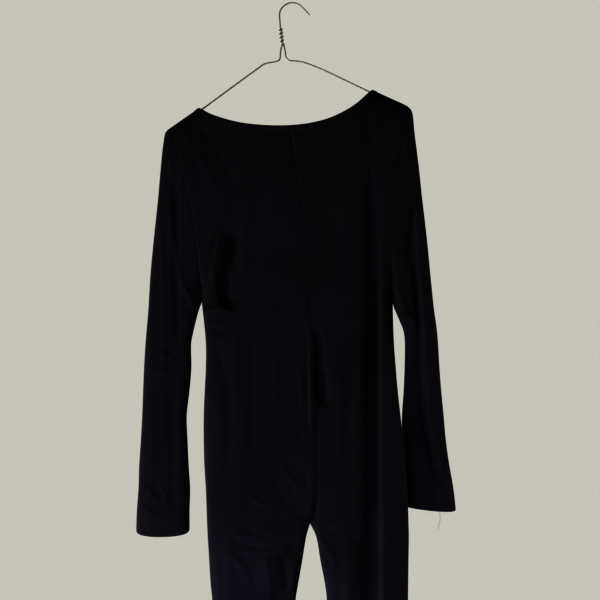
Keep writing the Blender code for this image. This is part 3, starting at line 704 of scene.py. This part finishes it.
def binding_layout(column, row):
    """Placing function of the folded neck binding: once round, once along its folded section."""
    back, share = round_and_back(column / BINDING_COLUMNS)
    left = neck_share(-1, np.minimum(2 * share, 1.0))
    right = neck_share(1, np.minimum(2 * (1 - share), 1.0))
    share = np.where(share < 0.5, left, right)
    point, across = neck_point(share)
    section = np.array(BINDING_SECTION)[row.astype(int)]
    x, z = point + across * section[:, 0]
    slope_x, slope_z = hung_slope(x, z)
    out = np.stack([-slope_x, np.where(at_ends(share), 0.0, 1.0), -slope_z])
    out = out / np.maximum(np.linalg.norm(out, axis=0), TINY)
    gathers = 1.0 + BAND_GATHERS * np.sin(x / 2.3 + 2.0 * np.sin(x / 19.0))
    loft = section[:, 1] * np.where(np.abs(section[:, 1]) > BAND_OUTSIDE, gathers, 1.0)
    deep = np.where(at_ends(share), 0.0, hung_depth(x, z)) + out[1] * loft
    return np.stack([x + out[0] * loft, np.where(back, deep, -deep), z + out[2] * loft], axis=1)


# ---- making meshes

def add_piece(name, data, material):
    piece = bpy.data.objects.new(name, data)
    data.materials.append(material)
    put_in_scene(piece)
    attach(piece, ROOT)
    return piece


def mesh_from(bm, name):
    data = bpy.data.meshes.new(name)
    bm.to_mesh(data)
    bm.free()
    return data


def cloth_piece(name, columns, rows, place, cut, wall, material, inside=None):
    """A walled grid laid out by its placing function, with a UV map in metres of cloth."""
    bm = bmesh.new()
    bm.loops.layers.uv.new("cloth")
    bmesh.ops.create_grid(bm, x_segments=columns, y_segments=rows, size=0.5, calc_uvs=True)
    spots = np.array([v.co for v in bm.verts]) + 0.5
    placed = place(np.rint(spots[:, 0] * columns), np.rint(spots[:, 1] * rows)) * MM
    for vert, spot in zip(bm.verts, placed):
        vert.co = spot
    layer = bm.loops.layers.uv.active
    for face in bm.faces:
        for loop in face.loops:
            loop[layer].uv = (loop[layer].uv.x * cut[0], loop[layer].uv.y * cut[1])
    bmesh.ops.remove_doubles(bm, verts=bm.verts, dist=WELD)
    data = mesh_from(bm, name)
    data.shade_smooth()
    middle = data.polygons[len(data.polygons) // 2]
    if inside is not None and middle.normal.dot(middle.center - Vector(inside)) < 0:
        data.flip_normals()  # the faces point away from the hollow
    piece = add_piece(name, data, material)
    layer = piece.modifiers.new("layer", "SOLIDIFY")
    layer.thickness = wall * MM
    layer.offset = 0.0
    layer.use_even_offset = False
    return piece


# ---- materials

class Look:
    """A material and the kinds of node that the materials here are made of."""

    def __init__(self, name, colour, roughness, metallic=0.0):
        self.material = bpy.data.materials.new(name)
        self.material.use_nodes = True
        self.nodes = self.material.node_tree.nodes
        self.links = self.material.node_tree.links
        self.shader = self.nodes["Principled BSDF"]
        self.set("Base Color", (*colour, 1.0))
        self.set("Roughness", roughness)
        self.set("Metallic", metallic)

    def set(self, socket, value):
        self.shader.inputs[socket].default_value = value

    def node(self, kind, **inputs):
        """A node of a kind, with some inputs set, an underscore standing for a blank."""
        node = self.nodes.new(f"ShaderNode{kind}")
        for socket, value in inputs.items():
            node.inputs[socket.replace("_", " ")].default_value = value
        return node

    def on_object(self, texture):
        """Lays a texture out in the object's own coordinates."""
        position = self.node("TexCoord")
        self.links.new(position.outputs["Object"], texture.inputs["Vector"])
        return texture.outputs["Fac"]

    def reckon(self, operation, a, b=None):
        node = self.node("Math")
        node.operation = operation
        self.links.new(a, node.inputs[0])
        if isinstance(b, float):
            node.inputs[1].default_value = b
        elif b is not None:
            self.links.new(b, node.inputs[1])
        return node.outputs[0]

    def ramp(self, source, *stops):
        """Colours the surface by a source between two stops, each a place and a colour."""
        node = self.node("ValToRGB")
        for stop, (place, colour) in zip(node.color_ramp.elements, stops):
            stop.position, stop.color = place, (*colour, 1.0)
        self.links.new(source, node.inputs["Fac"])
        self.links.new(node.outputs["Color"], self.shader.inputs["Base Color"])

    def bump(self, source, strength, distance):
        node = self.node("Bump", Strength=strength, Distance=distance)
        self.links.new(source, node.inputs["Height"])
        self.links.new(node.outputs["Normal"], self.shader.inputs["Normal"])


def jersey(name, colour, wale, course=0.00045):
    """Fine single jersey: columns of small V stitches, a matt nap and a faint bloom."""
    look = Look(name, colour, 0.9)
    look.set("Specular IOR Level", 0.0)
    look.set("Sheen Weight", 0.03)
    look.set("Sheen Roughness", 0.45)

    cloth = look.node("UVMap")
    cloth.uv_map = "cloth"
    split = look.node("SeparateXYZ")
    look.links.new(cloth.outputs["UV"], split.inputs[0])

    def wave(source, pitch):
        return look.reckon("SINE", look.reckon("MULTIPLY", source, 2 * math.pi / pitch))

    columns = look.reckon("ABSOLUTE", wave(split.outputs["X"], wale))
    lean = look.reckon("MULTIPLY", columns, course * 0.8)
    rows = wave(look.reckon("ADD", split.outputs["Y"], lean), course)
    knit = look.reckon(
        "ADD", look.reckon("MULTIPLY", columns, 0.6), look.reckon("MULTIPLY", rows, 0.4)
    )
    fuzz = look.on_object(look.node("TexNoise", Scale=900.0, Detail=3.0))
    look.bump(look.reckon("ADD", knit, fuzz), 0.65, 0.0002)

    fading = look.on_object(look.node("TexNoise", Scale=9.0, Detail=4.0))
    deep, washed = [c * 0.9 for c in colour], [c * 1.15 for c in colour]
    look.ramp(fading, (0.3, deep), (0.75, washed))
    return look.material


def spun_thread():
    """Spun polyester thread: two plies twisted together, a little shinier than the cloth."""
    look = Look("black_thread", (0.034, 0.030, 0.036), 0.62)
    plies = look.node("TexWave", Scale=900.0, Distortion=1.5)
    plies.bands_direction = "DIAGONAL"
    look.bump(look.on_object(plies), 0.5, 0.0001)
    return look.material


def lacquered_wire():
    """Dark lacquered steel wire with faint drawing marks and small worn spots."""
    look = Look("lacquered_wire", (0.24, 0.21, 0.16), 0.5, 0.6)
    marks = look.on_object(look.node("TexNoise", Scale=260.0, Detail=4.0))
    look.ramp(marks, (0.45, (0.20, 0.17, 0.125)), (0.8, (0.36, 0.32, 0.26)))
    gloss = look.node("MapRange", To_Min=0.45, To_Max=0.7)
    look.links.new(marks, gloss.inputs["Value"])
    look.links.new(gloss.outputs["Result"], look.shader.inputs["Roughness"])
    return look.material


JERSEY = jersey("black_jersey", (0.026, 0.0215, 0.027), wale=0.00055)
BINDING = jersey("black_binding", (0.028, 0.0235, 0.029), wale=0.0005)
THREAD = spun_thread()
WIRE = lacquered_wire()

# ---- the pieces of cloth
WELD = 1e-6  # metres
HOLLOW = (0.03, 0.0, -0.6)  # a place inside the trunk, in metres
# Metres of cloth that each kind of piece's UV map spans.
PANEL_CUT = (0.20, 1.44)
SLEEVE_CUT = (0.17, 0.66)
BINDING_CUT = (0.66, 0.028)


def panel_name(side, back):
    return f"{'back' if back else 'front'}_{HANDS[side]}"


def make_panel(side, back):
    name = panel_name(side, back)
    rows = HEM_ROWS + TRUNK_ROWS + TOP_ROWS
    piece = cloth_piece(
        f"{name}_panel", PANEL_COLUMNS, rows, panel_layout(side, back), PANEL_CUT, SHELL, JERSEY,
        inside=HOLLOW,
    )
    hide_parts(*(f"{name}_{part}" for part in ("chest", "hip", "leg")))


def make_sleeve(side):
    name = f"sleeve_{HANDS[side]}"
    rows = SLEEVE_ROWS + HEM_ROWS
    low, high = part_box(f"{name}_lower")
    piece = cloth_piece(
        f"{name}_cloth", SLEEVE_COLUMNS, rows, sleeve_layout(side), SLEEVE_CUT, SHELL, JERSEY,
        inside=low.lerp(high, 0.5),
    )
    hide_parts(f"{name}_upper", f"{name}_lower")


def make_binding():
    piece = cloth_piece(
        "neck_binding_strip", BINDING_COLUMNS, len(BINDING_SECTION) - 1, binding_layout,
        BINDING_CUT, BINDING_SHELL, BINDING,
    )
    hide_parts("neck_binding")


# ---- stitching
STITCH_LENGTH = 2.3
STITCH_PITCH = 2.7
STITCH_THICK = 0.34
STITCH_FLATNESS = 0.8  # a stitch is pressed to this share of its thickness
STITCH_LIFT = 0.06  # of its middle, above the cloth's face
FIRST_STITCH, LAST_STITCH = 0.5, 0.3  # pitches from a row's ends
STITCH_AIM = 0.4  # shares of its length between which a stitch takes its direction
HEM_SEAM_HEIGHTS = (19.5, 23.5)
ROW_SAMPLES = 180
# How far above its edge a turned edge's seams are looked for: grid rows, and samples of them.
HEM_SEARCH, CUFF_SEARCH = (11.0, 6), (20.0, 11)
PANEL_STITCHED = (0.02, 0.98)  # shares of a panel's width
BAND_STITCHED = ((0.004, 0.496), (0.504, 0.996))  # shares of the way round, front and back


def seam_rows(place, columns, rows):
    """For each needle row: grid rows, column by column, at its height of cloth above the edge."""
    spots = np.stack([place(columns, np.full_like(columns, row)) for row in rows])
    lengths = np.cumsum(np.linalg.norm(np.diff(spots, axis=0), axis=2), axis=0)
    lengths = np.concatenate([np.zeros((1, len(columns))), lengths])
    return [
        np.array([np.interp(height, run, rows) for run in lengths.T]) for height in HEM_SEAM_HEIGHTS
    ]


def run_lengths(points):
    """Length along a line of points, from its first to each of them."""
    steps = np.linalg.norm(np.diff(points, axis=0), axis=1)
    return np.concatenate([[0.0], np.cumsum(steps)])


def stitch_line(place, columns, rows, across, inside):
    """Stitch middles, directions and outward directions along a line on the laid-out cloth."""
    line = place(columns, rows)
    beside = place(columns, rows + across)
    lengths = run_lengths(line)
    middles = np.arange(
        FIRST_STITCH * STITCH_PITCH, lengths[-1] - LAST_STITCH * STITCH_PITCH, STITCH_PITCH
    )

    def at(where, points):
        return np.stack([np.interp(where, lengths, points[:, k]) for k in range(3)], axis=1)

    reach = STITCH_AIM * STITCH_LENGTH
    ahead = at(middles + reach, line) - at(middles - reach, line)
    centre = at(middles, line)
    out = np.cross(ahead, at(middles, beside) - centre)
    away = centre - np.array([inside(x, z) for x, _, z in centre])
    out = out * np.sign(np.sum(out * away, axis=1))[:, None]
    return centre, unit(ahead, axis=1), unit(out, axis=1)


def make_stitches(name, lines, wall):
    """One piece of small thread bars, each lying on the cloth with its ends sunk in it."""
    one = bmesh.new()
    bmesh.ops.create_uvsphere(one, u_segments=8, v_segments=6, radius=0.5)
    bar = mesh_from(one, "thread_bar")
    lift = wall / 2 + STITCH_LIFT
    bm = bmesh.new()
    for centres, ahead, out in lines:
        for spot, along, up in zip(centres, ahead, out):
            side = Vector(np.cross(up, along))
            height = STITCH_THICK * STITCH_FLATNESS
            axes = Matrix((side * STITCH_THICK, Vector(up) * height, Vector(along) * STITCH_LENGTH))
            turn = axes.transposed().to_4x4()
            turn.translation = Vector(spot + up * lift)
            placed = bar.copy()
            placed.transform(Matrix.Scale(MM, 4) @ turn)
            bm.from_mesh(placed)
            bpy.data.meshes.remove(placed)
    bmesh.ops.recalc_face_normals(bm, faces=bm.faces)
    data = mesh_from(bm, name)
    bpy.data.meshes.remove(bar)
    data.shade_smooth()
    add_piece(name, data, THREAD)


def coverstitch(place, columns, rows, across, inside):
    """The two needle rows that hold a turned edge."""
    seams = seam_rows(place, columns, rows)
    return [stitch_line(place, columns, seam, across, inside) for seam in seams]


def hem_stitches(side, back):
    """A leg hem's coverstitch, on one panel."""
    place = panel_layout(side, back)
    columns = np.linspace(*PANEL_STITCHED, ROW_SAMPLES) * PANEL_COLUMNS
    rows = HEM_ROWS + np.linspace(0.0, *HEM_SEARCH)

    def inside(x, z):
        return ((side_edge(side, z) + inner_edge(side, z)) / 2, 0.0, z)

    return coverstitch(place, columns, rows, 1.0, inside)


def cuff_stitches(side):
    """A cuff's coverstitch, once round."""
    place = sleeve_layout(side)
    columns = np.linspace(0.0, 1.0, 2 * ROW_SAMPLES) * SLEEVE_COLUMNS
    rows = SLEEVE_ROWS - np.linspace(0.0, *CUFF_SEARCH)

    def inside(x, z):
        outer, inner = sleeve_edges(side, np.array([z]))
        return ((outer[0] + inner[0]) / 2, sleeve_set_back(side, z), z)

    return coverstitch(place, columns, rows, -1.0, inside)


def band_stitches():
    """The single row that holds the folded binding, on its front and on its back."""
    lines = []
    for span in BAND_STITCHED:
        columns = np.linspace(*span, 2 * ROW_SAMPLES) * BINDING_COLUMNS
        rows = np.full_like(columns, BAND_SEAM_ROW)
        lines.append(stitch_line(binding_layout, columns, rows, 1.0, lambda x, z: (x, 0.0, z)))
    return lines


def make_stitching():
    for side, hand in HANDS.items():
        make_stitches(f"cuff_{hand}_stitches", cuff_stitches(side), SHELL)
        for back in (False, True):
            name = f"{panel_name(side, back)}_hem_stitches"
            make_stitches(name, hem_stitches(side, back), SHELL)
    make_stitches("neck_stitches", band_stitches(), BINDING_SHELL)


# ---- wires and the loose thread
# Routes are x, z pairs.
WIRE_WIDTH, WIRE_ROUNDNESS = 2.4, 5
HOOK = (
    (34.2, -19), (28.8, -12.6), (23.3, -6.8), (17.7, -2), (12, 0.9), (6.3, 1.9), (0.3, 1.3),
    (-4, -0.4), (-8.4, -3.4), (-12.4, -7.8), (-14.9, -12.8), (-15.6, -18.5), (-15.2, -26),
    (-14.4, -36), (-12.8, -52), (-11.2, -67),
)
HOOK_FOOT = ((-11.9, -70), (-12.88, -72.7))  # runs on to the frame's left wire
FRAME_LEFT = (
    (-12.9, -72.8), (-13.7, -77), (-14.1, -82), (-14.3, -87), (-15.6, -91.6), (-19.4, -94.4),
    (-27.9, -96.4), (-37, -98), (-42.6, -100.2), (-48, -104), (-96, -139), (-147.8, -177),
    (-186, -204), (-192.6, -208.8), (-196.6, -212.6), (-198.2, -216.4), (-197, -220.2),
    (-193.6, -222.2), (-187, -222),
)
FRAME_RIGHT = (
    (187, -184.4), (192.8, -183.6), (196.2, -181.6), (197.3, -178.8), (195.6, -175.7), (190, -172),
    (136.5, -146.8), (96, -127.6), (55.6, -108.4), (30, -98.2), (22, -95.8), (10, -94.2),
    (1.4, -93.4), (-3, -90.6), (-5.2, -86.4), (-5.9, -80),
)
SHANK_POINTS = 5  # of the hook, round which the frame's end is twisted
NECK_TURNS = 4
NECK_STEPS = 10  # a turn
NECK_START = -0.08 * math.pi
NECK_TOP, NECK_FOOT = -41.0, -66.0
NECK_COIL = WIRE_WIDTH + 0.12
# A thread end left hanging from the right cuff.
LOOSE_THREAD = (
    (251.6, -836.6), (251.4, -839.4), (251.7, -845), (252, -852), (251.9, -857), (250.8, -860.4),
    (249.6, -863.2), (249.3, -867), (249.6, -871),
)
THREAD_WIDTH, THREAD_ROUNDNESS, THREAD_SWAY = 0.45, 2, 1.2


def flat_route(points):
    return np.array([(x, 0.0, z) for x, z in points])


def smooth_route(points, pieces):
    """A finer route through the same points, curved at each of them."""
    lengths = run_lengths(points)
    spans = zip(lengths[:-1], lengths[1:])
    stops = np.concatenate([np.linspace(a, b, pieces, endpoint=False) for a, b in spans])
    stops = np.append(stops, lengths[-1])
    return np.stack([curve(lengths, points[:, k])(stops) for k in range(3)], axis=1)


def neck_coil():
    """The frame's end, twisted round the hook's shank."""
    shank = curve([z for _, z in HOOK[-SHANK_POINTS:]], [x for x, _ in HOOK[-SHANK_POINTS:]])
    steps = NECK_STEPS * NECK_TURNS
    k = np.arange(steps + 1)
    turn = NECK_START + 2 * math.pi * NECK_TURNS * k / steps
    z = mix(NECK_FOOT, NECK_TOP, k / steps)
    return np.stack([shank(z) + NECK_COIL * np.cos(turn), -NECK_COIL * np.sin(turn), z], axis=1)


def make_wire(name, route, material, width, roundness):
    data = bpy.data.curves.new(name, "CURVE")
    data.dimensions = "3D"
    data.bevel_depth = width / 2 * MM
    data.bevel_resolution = roundness
    data.use_fill_caps = True
    line = data.splines.new("POLY")
    line.points.add(len(route) - 1)
    for spot, at in zip(line.points, route):
        spot.co = (*(at * MM), 1.0)
    line.use_smooth = True
    return add_piece(name, data, material)


def make_hanger():
    route = smooth_route(flat_route(HOOK + HOOK_FOOT), pieces=6)
    hook = make_wire("hanger_hook_wire", route, WIRE, WIRE_WIDTH, WIRE_ROUNDNESS)
    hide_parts("hanger_hook")
    route = np.concatenate([flat_route(FRAME_LEFT + FRAME_RIGHT), neck_coil()])
    route = smooth_route(route, pieces=4)
    frame_wire = make_wire("hanger_wire", route, WIRE, WIRE_WIDTH, WIRE_ROUNDNESS)
    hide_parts("hanger_frame")


def make_loose_thread():
    set_back = sleeve_set_back(1, LOOSE_THREAD[0][1])
    points = [(x, set_back + THREAD_SWAY * math.sin(z / 9.0), z) for x, z in LOOSE_THREAD]
    route = smooth_route(np.array(points), pieces=5)
    make_wire("loose_thread", route, THREAD, THREAD_WIDTH, THREAD_ROUNDNESS)


# ---- surroundings
# From here on, lengths are in metres.
FLOOR_DROP = 0.35  # below the hems
FLOOR_RADIUS = 3.0
FLOOR_GLOW = (0.62, 0.61, 0.57, 1.0)
BACKDROP = (0.755, 0.742, 0.691, 1.0)
SOFT_COLOUR = (0.80, 0.78, 0.80, 1.0)
SOFT_LIGHT = 0.13  # what the backdrop gives the cloth
DISPLAY_GAMMA = 0.5  # presses the dark tones down
# Name, place, what it points at, width and height, watts, colour.
LAMPS = (
    ("side_window", (-1.9, -0.72, -1.25), (0, 0, -0.8), (0.4, 0.9), 74, (1, 0.84, 0.9)),
    ("low_daylight", (-0.46, -0.76, -1.8), (-0.08, 0, -1.02), (0.5, 0.3), 35, (0.52, 0.72, 1)),
    ("far_side", (1.3, -0.06, -0.95), (0.2, 0, -0.7), (0.3, 0.8), 22, (1, 0.86, 0.94)),
    ("room_fill", (0.2, -1.7, -1.5), (0.03, 0, -0.7), (1.2, 0.6), 4, (1, 0.72, 0.86)),
    ("rear_side", (-1.8, 0.85, -1.25), (0, 0, -0.8), (0.5, 0.9), 90, (1, 0.9, 0.97)),
    ("rear_low", (0.25, 0.8, -1.8), (0, 0, -1), (0.5, 0.3), 20, (0.62, 0.78, 1)),
)


def add_floor():
    """A plain pale floor, which glows as a lit one looks and casts nothing on the cloth."""
    bm = bmesh.new()
    bmesh.ops.create_circle(bm, cap_ends=True, segments=128, radius=FLOOR_RADIUS)
    bmesh.ops.translate(bm, verts=bm.verts, vec=(HOLLOW[0], 0.0, HEM * MM - FLOOR_DROP))
    floor = bpy.data.objects.new("floor", mesh_from(bm, "floor"))
    look = Look("pale_floor", (0.018, 0.018, 0.018), 0.9)
    look.set("Specular IOR Level", 0.0)
    look.set("Emission Color", FLOOR_GLOW)
    look.set("Emission Strength", 1.0)
    floor.data.materials.append(look.material)
    floor.visible_diffuse = False
    floor.visible_glossy = False
    put_in_scene(floor)


def add_lamp(name, place, aim, size, power, colour):
    lamp = bpy.data.lights.new(name, "AREA")
    lamp.shape = "RECTANGLE"
    lamp.size, lamp.size_y = size
    lamp.energy = power
    lamp.color = colour
    made = bpy.data.objects.new(name, lamp)
    made.location = place
    made.rotation_mode = "QUATERNION"
    made.rotation_quaternion = (Vector(aim) - Vector(place)).to_track_quat("-Z", "Y")
    made.visible_camera = False
    put_in_scene(made)


def add_backdrop():
    """A plain pale backdrop all round, which lights the cloth less than its brightness would."""
    world = bpy.data.worlds.new("studio")
    bpy.context.scene.world = world
    world.use_nodes = True
    nodes, links = world.node_tree.nodes, world.node_tree.links
    backdrop = nodes["Background"]
    backdrop.inputs["Color"].default_value = BACKDROP
    soft = nodes.new("ShaderNodeBackground")
    soft.inputs["Color"].default_value = SOFT_COLOUR
    soft.inputs["Strength"].default_value = SOFT_LIGHT
    seen = nodes.new("ShaderNodeLightPath")
    seen_or_mirrored = nodes.new("ShaderNodeMath")
    seen_or_mirrored.operation = "MAXIMUM"
    either = nodes.new("ShaderNodeMixShader")
    links.new(seen.outputs["Is Camera Ray"], seen_or_mirrored.inputs[0])
    links.new(seen.outputs["Is Glossy Ray"], seen_or_mirrored.inputs[1])
    links.new(seen_or_mirrored.outputs[0], either.inputs[0])
    links.new(soft.outputs[0], either.inputs[1])
    links.new(backdrop.outputs[0], either.inputs[2])
    links.new(either.outputs[0], nodes["World Output"].inputs["Surface"])


def add_surroundings():
    bpy.context.scene.view_settings.view_transform = "Standard"
    bpy.context.scene.view_settings.gamma = DISPLAY_GAMMA
    add_backdrop()
    add_floor()
    for lamp in LAMPS:
        add_lamp(*lamp)


def main():
    for back in (False, True):
        for side in HANDS:
            make_panel(side, back)
    for side in HANDS:
        make_sleeve(side)
    make_binding()
    make_hanger()
    make_stitching()
    make_loose_thread()
    add_surroundings()


main()
